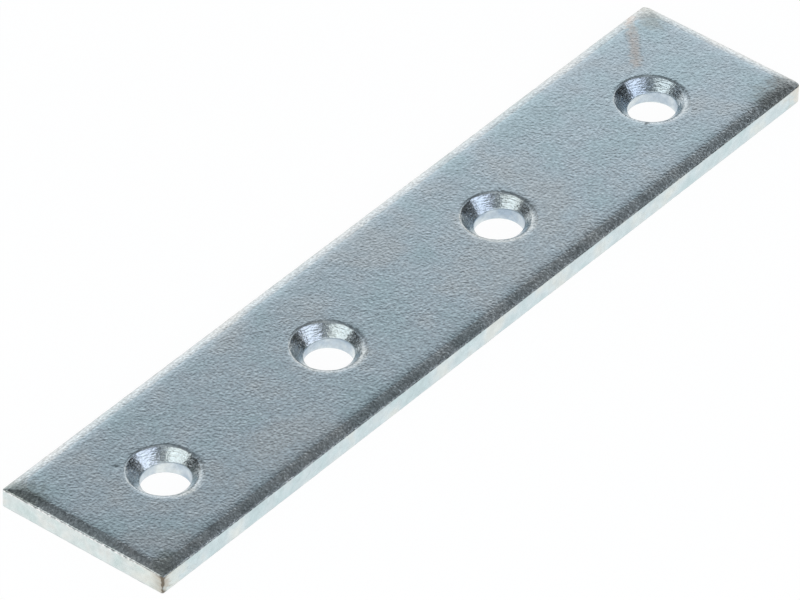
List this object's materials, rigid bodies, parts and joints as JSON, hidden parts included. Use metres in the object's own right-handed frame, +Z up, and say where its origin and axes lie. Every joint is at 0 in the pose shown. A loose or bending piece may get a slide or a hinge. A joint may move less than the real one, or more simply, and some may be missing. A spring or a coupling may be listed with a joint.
{
  "type": "mending plate",
  "caption": "Straight flat steel mending plate with rolled sheared edges and a centre row of countersunk screw holes, bright zinc plated.",
  "frame": {"origin": "centre of the underside, the flat face that lies on the work", "axes": "+X along the plate, +Y across it, +Z up out of the countersunk face"},
  "size_m": [0.1, 0.02, 0.0025],
  "materials": {
    "zinc_plated_steel": "bright zinc electroplate over mild steel, satin with a fine orange-peel grain"
  },
  "bodies": {
    "root": {"mending_plate": "zinc_plated_steel"}
  },
  "joints": []
}
